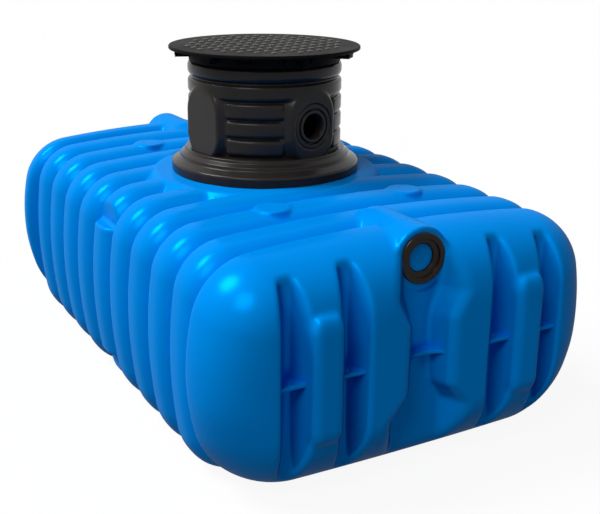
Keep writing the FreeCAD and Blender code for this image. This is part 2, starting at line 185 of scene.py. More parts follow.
def soft_min(a: Array, b: Array, reach: float) -> Array:
    """Smaller of two fields, with the crease between them rounded over reach."""
    return -soft_max(-a, -b, reach)


def smooth_step(low: float, high: float, value: Array) -> Array:
    """Soft ramp from 0 at low to 1 at high."""
    t = np.clip((value - low) / (high - low), 0.0, 1.0)
    return t * t * (3.0 - 2.0 * t)


def largest(*fields: Array) -> Array:
    """Largest of several fields, with sharp creases."""
    return functools.reduce(np.maximum, fields)


def arc_radius(half: float, rise: float) -> float:
    """Radius of an arc, from half its chord and its rise."""
    return (half ** 2 + rise ** 2) / (2.0 * rise)


def rounded_box(offsets: Sequence[Array], halves: Sequence[float], rounding: float) -> Array:
    """Distance outside a box with rounded edges, from offsets to its middle along its own axes."""
    gaps = [np.abs(offset) - half + rounding for offset, half in zip(offsets, halves)]
    outside = np.sqrt(sum(np.maximum(gap, 0.0) ** 2 for gap in gaps))
    return outside + np.minimum(largest(*gaps), 0.0) - rounding


def new_piece(name: str, mesh: bpy.types.Mesh, material: bpy.types.Material) -> bpy.types.Object:
    """Links a finished mesh into the scene as an object with one finish."""
    mesh.materials.clear()
    mesh.materials.append(material)
    piece = bpy.data.objects.new(name, mesh)
    bpy.context.scene.collection.objects.link(piece)
    return piece


def seat(piece: bpy.types.Object, nodes: Sequence[str] = ()) -> None:
    """Lets a piece ride on the object and hides the nodes that it stands for.

    Args:
        piece: finished piece, in place.
        nodes: names of the solids that the piece stands for.
    """
    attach(piece, "root")
    if nodes:
        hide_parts(*nodes)
    triangles = sum(len(p.vertices) - 2 for p in piece.data.polygons)
    LOG.info("%s: %d triangles, stands for %s", piece.name, triangles, ", ".join(nodes) or "itself")


@dataclass
class SurfaceMesher:
    """Turns a field, negative inside, to a mesh of even quads that lie on its zero surface.

    Points in the valleys of a ribbed field, one pitch apart along Y, are held there.
    """

    cell: Tuple[float, float, float]
    pitch: float = 0.0
    settle: int = 5
    resettle: int = 2
    relax: int = 3
    near: float = 0.01
    probe_share: float = 0.05
    least_slope: float = 0.2

    def _quads(self, shape: Field, low: Sequence[float], high: Sequence[float]) -> Tuple[Array, Array]:
        """Points, and quads as rows of point numbers, of a field in a box whose two Y faces cut it."""
        low = np.asarray(low, float)
        counts = np.maximum(np.round((np.asarray(high) - low) / np.asarray(self.cell)).astype(int), 1)
        step = (np.asarray(high) - low) / counts
        grid = [low[a] + (np.arange(counts[a] + 2) - 0.5) * step[a] for a in range(3)]
        values = shape(grid[0][:, None, None], grid[1][None, :, None], grid[2][None, None, :])
        values = np.broadcast_to(values, tuple(counts + 2))
        total = np.zeros(tuple(counts + 1) + (3,))
        hits = np.zeros(tuple(counts + 1))
        for axis in range(3):
            self._crossings(values, axis, grid, step, total, hits)
        active = hits > 0
        numbers = np.full(active.shape, -1)
        numbers[active] = np.arange(int(active.sum()))
        points = total[active] / hits[active][:, None]
        row = np.nonzero(active)[1]
        rim = (row == 0) | (row == counts[1])
        if self.pitch:
            turns = (low[1] + row * step[1]) / self.pitch + 0.5
            rim |= np.abs(turns - np.round(turns)) * self.pitch < self.near
        points[:, 1] = np.where(rim, low[1] + row * step[1], points[:, 1])
        faces = np.concatenate([self._faces(values, numbers, axis) for axis in range(3)])
        points = self._project(shape, points, rim, self.settle)
        for _ in range(self.relax):
            points = self._even(points, faces, rim)
            points = self._project(shape, points, rim, self.resettle)
        return points, faces

    @staticmethod
    def _neighbours(values: Array, axis: int, others: slice) -> Tuple[Array, Array]:
        """Each grid point and the next one along an axis, within a slice of the other two axes."""
        here, ahead = [others] * 3, [others] * 3
        here[axis], ahead[axis] = slice(0, -1), slice(1, None)
        return values[tuple(here)], values[tuple(ahead)]

    def _crossings(self, values: Array, axis: int, grid: List[Array], step: Array,
                   total: Array, hits: Array) -> None:
        """Adds where the grid lines along one axis cross the surface to the cells around them."""
        here, ahead = self._neighbours(values, axis, slice(None))
        where = np.nonzero((here < 0.0) != (ahead < 0.0))
        a, b = here[where], ahead[where]
        place = np.stack([grid[k][where[k]] for k in range(3)], axis=1)
        place[:, axis] += step[axis] * a / (a - b)
        u, v = [k for k in range(3) if k != axis]
        for du in (0, -1):
            for dv in (0, -1):
                at = list(where)
                at[u] = where[u] + du
                at[v] = where[v] + dv
                good = np.ones(len(place), bool)
                for k in range(3):
                    good &= (at[k] >= 0) & (at[k] < hits.shape[k])
                index = tuple(k[good] for k in at)
                np.add.at(total, index, place[good])
                np.add.at(hits, index, 1.0)

    def _faces(self, values: Array, numbers: Array, axis: int) -> Array:
        """Quads round the grid lines along one axis that cross the surface, turned outwards."""
        here, ahead = self._neighbours(values < 0.0, axis, slice(1, -1))
        where = list(np.nonzero(here != ahead))
        outward = here[tuple(where)]
        u, v = [(1, 2), (2, 0), (0, 1)][axis]
        where[u] = where[u] + 1
        where[v] = where[v] + 1
        corners = []
        for du, dv in ((-1, -1), (0, -1), (0, 0), (-1, 0)):
            at = list(where)
            at[u] = where[u] + du
            at[v] = where[v] + dv
            corners.append(numbers[tuple(at)])
        quads = np.stack(corners, axis=1)
        quads[~outward] = quads[~outward][:, ::-1]
        return quads

    def _project(self, shape: Field, points: Array, rim: Array, rounds: int) -> Array:
        """Moves points to the surface along the field's slope, within the cut planes on the rims."""
        reach = min(self.cell)
        probe = reach * self.probe_share
        for _ in range(rounds):
            x, y, z = points.T
            slope = np.empty_like(points)
            for k, axis in enumerate(np.eye(3) * probe):
                ahead = shape(x + axis[0], y + axis[1], z + axis[2])
                behind = shape(x - axis[0], y - axis[1], z - axis[2])
                slope[:, k] = (ahead - behind) / (2.0 * probe)
            slope[rim, 1] = 0.0
            size = np.maximum((slope ** 2).sum(axis=1), self.least_slope ** 2)
            move = -(shape(x, y, z) / size)[:, None] * slope
            length = np.maximum(np.linalg.norm(move, axis=1), 1e-9)
            points = points + move * np.minimum(1.0, reach / length)[:, None]
        return points

    @staticmethod
    def _even(points: Array, faces: Array, rim: Array) -> Array:
        """Draws each point halfway to the mean of its neighbours, and leaves the rims alone."""
        total = np.zeros_like(points)
        count = np.zeros(len(points))
        for a, b in ((0, 1), (1, 2), (2, 3), (3, 0)):
            np.add.at(total, faces[:, a], points[faces[:, b]])
            np.add.at(total, faces[:, b], points[faces[:, a]])
            np.add.at(count, faces[:, a], 1.0)
            np.add.at(count, faces[:, b], 1.0)
        mean = total / np.maximum(count, 1.0)[:, None]
        return np.where(rim[:, None] | (count[:, None] == 0), points, 0.5 * points + 0.5 * mean)

    def mesh(self, name: str, shape: Field, low: Sequence[float], high: Sequence[float]) -> bpy.types.Mesh:
        """Meshes the field as a closed, smooth-shaded piece, with flat caps on the cut planes.

        Args:
            name: name of the mesh.
            shape: field of x, y and z in millimetres.
            low: lowest corner of the box, millimetres.
            high: highest corner of the box, millimetres.

        Returns:
            The new mesh, in metres.
        """
        points, faces = self._quads(shape, low, high)
        mesh = bpy.data.meshes.new(name)
        mesh.from_pydata((points * MM).tolist(), [], faces.tolist())
        work = bmesh.new()
        work.from_mesh(mesh)
        open_edges = [edge for edge in work.edges if edge.is_boundary]
        if open_edges:
            for edge in open_edges:
                edge.smooth = False
            bmesh.ops.holes_fill(work, edges=open_edges, sides=0)
        bmesh.ops.recalc_face_normals(work, faces=work.faces)
        for face in work.faces:
            face.smooth = True
        work.to_mesh(mesh)
        work.free()
        return mesh


@dataclass
class TankShell:
    """Blue ribbed body: a rounded section, nine ribs, two modelled ends, roof pads and the neck.

    Sizes in mm. A value named soft is the reach over which a crease is rounded.
    """

    length: float = 2110.0
    width: float = 1350.0
    height: float = 735.0
    rib_corner: float = 165.0
    end_corners: Tuple[float, float] = (200.0, 267.0)
    roof_crown: float = 22.0
    side_crown: float = 15.0
    rib_count: int = 9
    rib_pitch: float = 175.5
    rib_set_in: float = 19.0
    valley: float = 48.0
    rib_power: float = 3.0
    end_rounding: float = 196.0
    foot_rounding: float = 236.0
    foot_levels: Tuple[float, float] = (330.0, 90.0)
    end_bow: float = 20.0
    end_rise: float = 50.0
    end_power: float = 2.2
    groove_x: Tuple[float, float] = (258.0, 442.0)
    groove_floor: float = 20.0
    groove_slope: float = 0.32
    groove_depth: float = 88.0
    groove_floor_soft: float = 16.0
    groove_edge_soft: float = 14.0
    pilaster_half: float = 52.0
    pilaster_z: Tuple[float, float] = (192.0, 580.0)
    pilaster_proud: float = 22.0
    pilaster_root: float = 60.0
    pilaster_round: float = 30.0
    pilaster_dome: float = 54.0
    pilaster_soft: float = 9.0
    channel_depth: float = 80.0
    channel_z: Tuple[float, ...] = (205.0, 277.0, 490.0, 567.0)
    channel_floor: Tuple[float, ...] = (88.0, 42.0, 40.0, 66.0)
    channel_mouth: Tuple[float, ...] = (140.0, 76.0, 74.0, 120.0)
    channel_ease: float = 10.0
    channel_samples: int = 5
    channel_floor_soft: float = 12.0
    channel_edge_soft: float = 26.0
    inlet_z: float = 663.0
    barrel_radius: float = 93.0
    barrel_length: float = 230.0
    barrel_front_soft: float = 8.0
    barrel_soft: float = 14.0
    socket_radius: float = 66.0
    socket_depth: float = 8.0
    socket_soft: float = 2.0
    notch_angles: Tuple[float, float] = (14.0, 44.0)
    notch_corner_soft: float = 12.0
    notch_floor_soft: float = 10.0
    notch_edge_soft: float = 7.0
    pad_radius: float = 58.0
    pad_x: float = 245.0
    pad_rib: int = 3
    pad_top: float = 733.0
    pad_edge_soft: float = 6.0
    pad_soft: float = 8.0
    neck_radius: float = 394.0
    neck_z: float = 726.0
    neck_slope: float = 1.05
    neck_root: float = 120.0
    neck_soft: float = 5.0
    neck_rim_soft: float = 4.0
    end_cell: float = 6.4
    rib_cell: float = 8.2
    rib_rows: int = 36
    margin: float = 30.0

    @property
    def rib_end(self) -> float:
        """Distance of the last valley from the middle."""
        return self.rib_count * self.rib_pitch / 2.0

    @property
    def bow_radius(self) -> float:
        """Radius of the end wall's bow in plan."""
        return arc_radius(self.width / 2.0, self.end_bow)

    @property
    def channel_y(self) -> float:
        """Distance of the channel's floor from the middle."""
        return self.length / 2.0 - self.channel_depth

    @property
    def groove_y(self) -> float:
        """Distance of the grooves' floors from the middle."""
        return self.length / 2.0 - self.groove_depth

    def face(self, x: Array) -> Array:
        """Distance of the bowed end wall from the middle, at x across the tank."""
        return self.length / 2.0 - self.bow_radius + np.sqrt(self.bow_radius ** 2 - x ** 2)

    def section(self, x: Array, z: Array, half: float, upper: float, lower: float) -> Array:
        """Distance outside a section that tangent arcs make up.

        Args:
            x: distance from the middle plane, not negative.
            z: height over the floor.
            half: half width of the section.
            upper: radius of the upper corner.
            lower: radius of the lower corner.

        Returns:
            Signed distance, negative inside.
        """
        crown = self.side_crown
        upper_x, lower_x = half - crown - upper, half - crown - lower
        upper_z = self.height - self.roof_crown - upper
        span = upper_z - lower
        rise = (span ** 2 + 2.0 * crown * (lower - upper)) / (2.0 * span)
        side = upper + (rise ** 2 + crown ** 2) / (2.0 * crown)
        roof = ((self.roof_crown + upper) ** 2 + upper_x ** 2 - upper ** 2) / (2.0 * self.roof_crown)
        roof_angle = math.atan2(upper_z - self.height + roof, upper_x)
        above = np.arctan2(z - upper_z, x - upper_x)
        below = np.arctan2(lower - z, x - lower_x)
        side_gap = np.hypot(x - half + side, z - upper_z + rise) - side
        roof_gap = np.hypot(x, z - self.height + roof) - roof
        top = np.where(above > roof_angle, roof_gap, np.hypot(x - upper_x, z - upper_z) - upper)
        top = np.where(above < math.atan2(rise, side - crown - upper), side_gap, top)
        bottom = np.where(below > math.pi / 2.0, -z + 0.0 * x, np.hypot(x - lower_x, z - lower) - lower)
        bottom = np.where(below < math.atan2(span - rise, side - crown - lower), side_gap, bottom)
        return np.where(z > upper_z - rise, top, bottom)

    def ribs(self, x: Array, y: Array, z: Array) -> Array:
        """Tube of rounded ribs with narrow valleys, which rises to the full width of the ends."""
        crest = self.section(x, z, self.width / 2.0 - self.rib_set_in, self.rib_corner, self.rib_corner)
        turns = y / self.rib_pitch
        body = crest + self.valley * (np.abs(turns - np.round(turns)) * 2.0) ** self.rib_power
        if np.min(y) < self.rib_pitch / 2.0:
            body = soft_max(body, -self.notch(x, y, z, crest), self.notch_edge_soft)
        if np.max(y) > self.rib_end:
            share = np.clip(1.0 - (y - self.rib_end) / self.end_rise, 0.0, 1.0) ** self.end_power
            full = self.section(x, z, self.width / 2.0, *self.end_corners)
            rising = share * (crest + self.valley) + (1.0 - share) * full
            body = np.where(y > self.rib_end, rising, body)
        return body

    def notch(self, x: Array, y: Array, z: Array, crest: Array) -> Array:
        """Step cut from the middle rib at its upper and lower shoulders, negative in the cut."""
        ledge_angle, wall_angle = (math.radians(angle) for angle in self.notch_angles)
        corner_x = self.width / 2.0 - self.rib_set_in - self.side_crown - self.rib_corner
        corner_z = self.height - self.roof_crown - self.rib_corner
        wall = corner_x + self.rib_corner * math.cos(wall_angle)
        ledge = corner_z + self.rib_corner * math.sin(ledge_angle)
        height = np.maximum(z, self.height - self.roof_crown - z)
        cut = soft_max(wall - x, ledge - height, self.notch_corner_soft)
        cut = soft_max(cut, -crest - self.valley, self.notch_floor_soft)
        return np.maximum(cut, y - self.rib_pitch / 2.0)

    def end_wall(self, x: Array, y: Array, z: Array, body: Array) -> Array:
        """Rounds the body off at its bowed ends, more so at the foot."""
        foot = smooth_step(*self.foot_levels, z)
        rounding = self.end_rounding + (self.foot_rounding - self.end_rounding) * foot
        a = body + rounding
        b = y - self.face(x) + rounding
        outside = np.hypot(np.maximum(a, 0.0), np.maximum(b, 0.0))
        return np.minimum(np.maximum(a, b), 0.0) + outside - rounding

    def grooves(self, x: Array, y: Array) -> Array:
        """Upright grooves with slanted sides, negative in a groove."""
        spread = self.groove_floor + self.groove_slope * (y - self.groove_y)
        nearest = np.minimum(np.abs(x - self.groove_x[0]), np.abs(x - self.groove_x[1]))
        side = (nearest - spread) / math.hypot(1.0, self.groove_slope)
        return soft_max(side, self.groove_y - y, self.groove_floor_soft)

    def pilasters(self, x: Array, y: Array, z: Array) -> Array:
        """Rounded upright bosses with domed ends between the grooves, negative inside."""
        middle = sum(self.groove_x) / 2.0
        front = self.face(middle) + self.pilaster_proud
        back = self.groove_y - self.pilaster_root
        low, high = self.pilaster_z
        squeeze = self.pilaster_round / self.pilaster_dome
        offsets = (x - middle, y - (front + back) / 2.0, (z - (low + high) / 2.0) * squeeze)
        halves = (self.pilaster_half, (front - back) / 2.0, (high - low) / 2.0 * squeeze)
        return rounded_box(offsets, halves, self.pilaster_round)

    def channel(self, x: Array, y: Array, z: Array) -> Array:
        """Waisted middle channel below the inlet, negative in it."""
        shifts = np.linspace(-self.channel_ease, self.channel_ease, self.channel_samples)
        half, mouth = (sum(np.interp(z + shift, self.channel_z, widths) for shift in shifts) / len(shifts)
                       for widths in (self.channel_floor, self.channel_mouth))
        slope = (mouth - half) / self.channel_depth
        side = (x - half - slope * (y - self.channel_y)) / np.sqrt(1.0 + slope ** 2)
        return soft_max(side, self.channel_y - y, self.channel_floor_soft)

    def barrel(self, x: Array, y: Array, z: Array) -> Array:
        """Domed barrel over the inlet with a flat front and a round back."""
        behind = np.maximum(self.channel_y - self.barrel_length - y, 0.0)
        tube = np.sqrt(x ** 2 + (z - self.inlet_z) ** 2 + behind ** 2) - self.barrel_radius
        return soft_max(tube, y - self.channel_y, self.barrel_front_soft)

    def roof_pads(self, x: Array, y: Array, z: Array) -> Array:
        """Round roof pads, negative inside."""
        from_pad = np.hypot(x - self.pad_x, y - self.pad_rib * self.rib_pitch) - self.pad_radius
        return np.maximum(soft_max(from_pad, z - self.pad_top, self.pad_edge_soft), self.height / 2.0 - z)

    def neck(self, radius: Array, z: Array) -> Array:
        """Round platform under the shaft with a sloping skirt, negative inside."""
        skirt = radius - self.neck_radius - self.neck_slope * (self.neck_z - z)
        skirt = skirt / math.hypot(1.0, self.neck_slope)
        return np.maximum(soft_max(skirt, z - self.neck_z, self.neck_soft), self.neck_z - self.neck_root - z)

    def shape(self, x: Array, y: Array, z: Array) -> Array:
        """The whole body as one field, the same in each quarter.

        Args:
            x: place across the tank.
            y: place along the tank.
            z: height over the floor.

        Returns:
            Field, negative inside the body.
        """
        x = np.abs(x)
        y = np.abs(y)
        at_end = np.max(y) > self.rib_end
        body = self.end_wall(x, y, z, self.ribs(x, y, z))
        if at_end:
            body = soft_max(body, -self.grooves(x, y), self.groove_edge_soft)
            body = soft_min(body, self.pilasters(x, y, z), self.pilaster_soft)
            body = soft_max(body, -self.channel(x, y, z), self.channel_edge_soft)
        body = soft_min(body, self.barrel(x, y, z), self.barrel_soft)
        if at_end:
            socket = np.maximum(np.hypot(x, z - self.inlet_z) - self.socket_radius,
                                self.channel_y - self.socket_depth - y)
            body = soft_max(body, -socket, self.socket_soft)
        body = soft_min(body, self.roof_pads(x, y, z), self.pad_soft)
        radius = np.hypot(x, y)
        body = soft_min(body, self.neck(radius, z), self.neck_soft)
        above = soft_max(radius - self.neck_radius, self.neck_z - z, self.neck_rim_soft)
        return soft_max(body, -above, self.neck_soft)

    def build(self, material: bpy.types.Material) -> None:
        """Meshes the two ends and three groups of ribs, parted along valleys.

        Args:
            material: finish of the shell.
        """
        half = self.width / 2.0 + self.margin
        reach = self.length / 2.0 + self.pilaster_proud + self.margin
        parting = (self.rib_count // 3) * self.rib_pitch / 2.0
        ends = SurfaceMesher((self.end_cell, self.end_cell, self.end_cell))
        ribs = SurfaceMesher((self.rib_cell, self.rib_pitch / self.rib_rows, self.rib_cell), self.rib_pitch)
        groups = (
            ("tank_front_end", ends, -reach, -self.rib_end, ["front_end"]),
            ("tank_front_ribs", ribs, -self.rib_end, -parting,
             ["roof_front", "left_wall", "left_lower_shoulder", "left_upper_shoulder"]),
            ("tank_middle_ribs", ribs, -parting, parting,
             ["neck", "floor", "roof_front_left", "roof_front_right", "roof_rear_left", "roof_rear_right"]),
            ("tank_rear_ribs", ribs, parting, self.rib_end,
             ["roof_rear", "right_wall", "right_lower_shoulder", "right_upper_shoulder"]),
            ("tank_rear_end", ends, self.rib_end, reach, ["rear_end"]),
        )
        for name, mesher, start, stop, nodes in groups:
            mesh = mesher.mesh(name, self.shape, (-half, start, -self.margin),
                               (half, stop, self.height + 2.0 * self.margin))
            seat(new_piece(name, mesh, material), nodes)


def rounded_outline(corners: Sequence[Corner], closed: bool, steps: int = 6) -> List[Tuple[float, float]]:
    """Rounds the corners of an outline and sets holding points beside each arc.

    An arc takes at most EDGE_SHARE of an edge. Its holding points lie HOLD_LEAST to HOLD_MOST mm past it.

    Args:
        corners: radius, height and rounding of each corner, millimetres.
        closed: whether the last corner joins the first.
        steps: spans in each arc.

    Returns:
        Points of the outline as radius and height.
    """
    points: List[Tuple[float, float]] = []
    count = len(corners)
    for k, (r, z, rounding) in enumerate(corners):
        here = Vector((r, z))
        if rounding <= 0.0 or (not closed and k in (0, count - 1)):
            points.append((r, z))
            continue
        before = Vector(corners[k - 1][:2]) - here
        after = Vector(corners[(k + 1) % count][:2]) - here
        half = before.angle(after) / 2.0
        reach = min(rounding / math.tan(half), EDGE_SHARE * before.length, EDGE_SHARE * after.length)
        u, v = before.normalized(), after.normalized()
        centre = here + (u + v).normalized() * reach / math.cos(half)
        radius = reach * math.tan(half)
        hold = min(HOLD_MOST, HOLD_SHARE * reach + HOLD_LEAST)
        points.append(tuple(here + u * (reach + hold)))
        first, last = here + u * reach - centre, here + v * reach - centre
        turn = math.atan2(first.x * last.y - first.y * last.x, first.dot(last))
        for n in range(steps + 1):
            c, s = math.cos(turn * n / steps), math.sin(turn * n / steps)
            spoke = Vector((first.x * c - first.y * s, first.x * s + first.y * c))
            points.append(tuple(centre + spoke.normalized() * radius))
        points.append(tuple(here + v * (reach + hold)))
    return points


def lathe(name: str, corners: Sequence[Corner], closed: bool, place: Matrix, spokes: int
          ) -> bpy.types.Mesh:
    """Turns a rounded outline about its axis.

    Args:
        name: name of the mesh.
        corners: radius, height and rounding of each corner, millimetres.
        closed: whether the outline is a ring; otherwise it starts and ends on the axis.
        place: where the turned form goes, its shift in millimetres.
        spokes: spans round the axis.

    Returns:
        The new mesh, in metres.
    """
    work = bmesh.new()
    rows = []
    for r, z in rounded_outline(corners, closed):
        angles = [2.0 * math.pi * n / spokes for n in range(spokes if r > 0.0 else 1)]
        spots = [Vector((r * math.cos(a), r * math.sin(a), z)) for a in angles]
        rows.append([work.verts.new(place @ spot * MM) for spot in spots])
    for first, second in zip(rows, rows[1:] + rows[:1] if closed else rows[1:]):
        for n in range(spokes):
            m = (n + 1) % spokes
            ring = [row[k % len(row)] for row, k in ((first, n), (first, m), (second, m), (second, n))]
            work.faces.new(list(dict.fromkeys(ring)))
    return settled(name, work)


def settled(name: str, work: bmesh.types.BMesh, crease: float = 38.0) -> bpy.types.Mesh:
    """Turns the faces outwards, shades them smooth with hard creases, and makes the mesh.

    Args:
        name: name of the mesh.
        work: closed forms in metres; freed here.
        crease: angle from which an edge stays hard, degrees.

    Returns:
        The new mesh.
    """
    bmesh.ops.recalc_face_normals(work, faces=work.faces)
    for face in work.faces:
        face.smooth = True
    mesh = bpy.data.meshes.new(name)
    work.to_mesh(mesh)
    work.free()
    mesh.set_sharp_from_angle(angle=math.radians(crease))
    return mesh


def add_block(work: bmesh.types.BMesh, low: Sequence[float], high: Sequence[float], bevel: float,
              place: Matrix, taper: float = 1.0) -> None:
    """Adds a block with bevelled edges.

    Args:
        work: mesh under way, in metres.
        low: lowest corner, millimetres.
        high: highest corner, millimetres.
        bevel: width of the bevel, millimetres.
        place: turn and shift of the block, millimetres.
        taper: share of the depth along Y that is left at the bottom, measured from the high Y face.
    """
    made = bmesh.ops.create_cube(work, size=1.0)["verts"]
    size = [b - a for a, b in zip(low, high)]
    for vert in made:
        spot = [a + (c + 0.5) * s for a, c, s in zip(low, vert.co, size)]
        if spot[2] < (low[2] + high[2]) / 2.0:
            spot[1] = high[1] + (spot[1] - high[1]) * taper
        vert.co = place @ Vector(spot) * MM
    edges = list({edge for vert in made for edge in vert.link_edges})
    bmesh.ops.bevel(work, geom=edges, offset=bevel * MM, segments=2, profile=0.5, affect="EDGES")


@dataclass
class EndFittings:
    """Level webs across the grooves and the channel, and the stepped pipe seals. Sizes in mm."""

    shell: TankShell
    web_z: float = 377.0
    web_half: float = 6.0
    web_set_back: float = 18.0
    web_hollow: float = 3.0
    web_bite: float = 6.0
    web_soft: float = 2.5
    web_crease: float = 60.0
    eye_radius: float = 8.5
    eye_set_back: float = 26.0
    channel_web_reach: float = 56.0
    channel_web_hollow: float = 26.0
    cell: Tuple[float, float, float] = (3.2, 3.2, 2.2)
    web_room: float = 78.0
    margin: float = 20.0
    seal_radius: float = 76.0
    seal_lip: float = 57.0
    seal_bore: float = 41.0
    seal_proud: float = 11.0
    seal_chamfer: float = 4.0
    seal_spokes: int = 112

    def level(self, plate: Array, z: Array) -> Array:
        """Gives an outline in plan the webs' thickness, with softened edges."""
        return soft_max(plate, np.abs(z - self.web_z) - self.web_half, self.web_soft)

    def groove_web(self, x: Array, y: Array, z: Array) -> Array:
        """Webs of the right grooves at the +Y end, hollowed at the free edge, with an eye in each."""
        shell = self.shell
        webs = []
        for middle in shell.groove_x:
            front = shell.face(middle) - self.web_set_back
            half = shell.groove_floor + shell.groove_slope * (front - shell.groove_y) + self.web_bite
            radius = arc_radius(half, self.web_hollow)
            hollow = radius - np.hypot(x - middle, y - front - radius + self.web_hollow)
            eye = self.eye_radius - np.hypot(x - middle, y - front + self.eye_set_back)
            root = shell.groove_y - self.web_bite - y
            webs.append(self.level(largest(y - front, hollow, root, np.abs(x - middle) - half, eye), z))
        return np.minimum(*webs)

    def channel_web(self, x: Array, y: Array, z: Array) -> Array:
        """Web across the waist of the channel at the +Y end, its free edge hollowed."""
        shell = self.shell
        floor, waist = shell.channel_y, shell.channel_floor[1] + self.web_bite
        front = floor + self.channel_web_reach
        slope = (shell.channel_mouth[1] - shell.channel_floor[1]) / shell.channel_depth
        radius = arc_radius(waist + slope * self.channel_web_reach, self.channel_web_hollow)
        hollow = radius - np.hypot(x, y - front - radius + self.channel_web_hollow)
        side = np.abs(x) - waist - slope * (y - floor)
        return self.level(largest(y - front, hollow, side, floor - self.web_bite - y), z)

    def seal_outline(self) -> Tuple[Corner, ...]:
        """Section of a seal: a plug in the socket, a proud rim and a chamfered bore.

        Returns:
            Radius, height over its seat and rounding of each corner.
        """
        bore, rim, lip = self.seal_bore, self.seal_radius, self.seal_lip
        plug, depth = self.shell.socket_radius, self.shell.socket_depth
        chamfer = self.seal_chamfer
        return ((bore, -depth, 0.0), (plug, -depth, 0.0), (plug, 0.0, 0.0), (rim, 0.0, 1.0),
                (rim, self.seal_proud, 7.0), (lip, self.seal_proud, 6.0), (lip, 0.75 * chamfer, 2.0),
                (bore + chamfer, 0.5 * chamfer, 2.0), (bore, -0.5 * chamfer, 2.0))

    def build(self, tank: bpy.types.Material, rubber: bpy.types.Material) -> None:
        """Makes the webs and seals of one end and turns them half round for the other.

        Args:
            tank: finish of the webs.
            rubber: finish of the seals.
        """
        shell = self.shell
        mesher = SurfaceMesher(self.cell, relax=2)
        low, high = self.web_z - 3.0 * self.web_half, self.web_z + 3.0 * self.web_half
        back, front = shell.groove_y - self.margin, shell.length / 2.0 + self.margin / 2.0
        reach = shell.channel_mouth[1] + self.margin
        inner, outer = shell.groove_x[0] - self.web_room, shell.groove_x[1] + self.web_room
        side = mesher.mesh("groove_webs", self.groove_web, (inner, back, low), (outer, front, high))
        middle = mesher.mesh("channel_web", self.channel_web, (-reach, back, low), (reach, front, high))
        as_made, mirrored = Matrix.Identity(4), Matrix.Diagonal((-1.0, 1.0, 1.0, 1.0))
        for end, turn in (("front", math.pi), ("rear", 0.0)):
            spin = Matrix.Rotation(turn, 4, "Z")
            work = bmesh.new()
            for part, flip in ((side, as_made), (side, mirrored), (middle, as_made)):
                start = len(work.verts)
                work.from_mesh(part)
                work.verts.ensure_lookup_table()
                bmesh.ops.transform(work, matrix=spin @ flip, verts=work.verts[start:])
            name = end + "_end_webs"
            seat(new_piece(name, settled(name, work, self.web_crease), tank), [end + "_webs"])
            seat_place = Matrix.Translation((0.0, shell.channel_y, shell.inlet_z))
            place = spin @ seat_place @ Matrix.Rotation(-math.pi / 2.0, 4, "X")
            name = end + "_pipe_seal"
            ring = lathe(name, self.seal_outline(), True, place, self.seal_spokes)
            seat(new_piece(name, ring, rubber), [end + "_inlet_seal"])


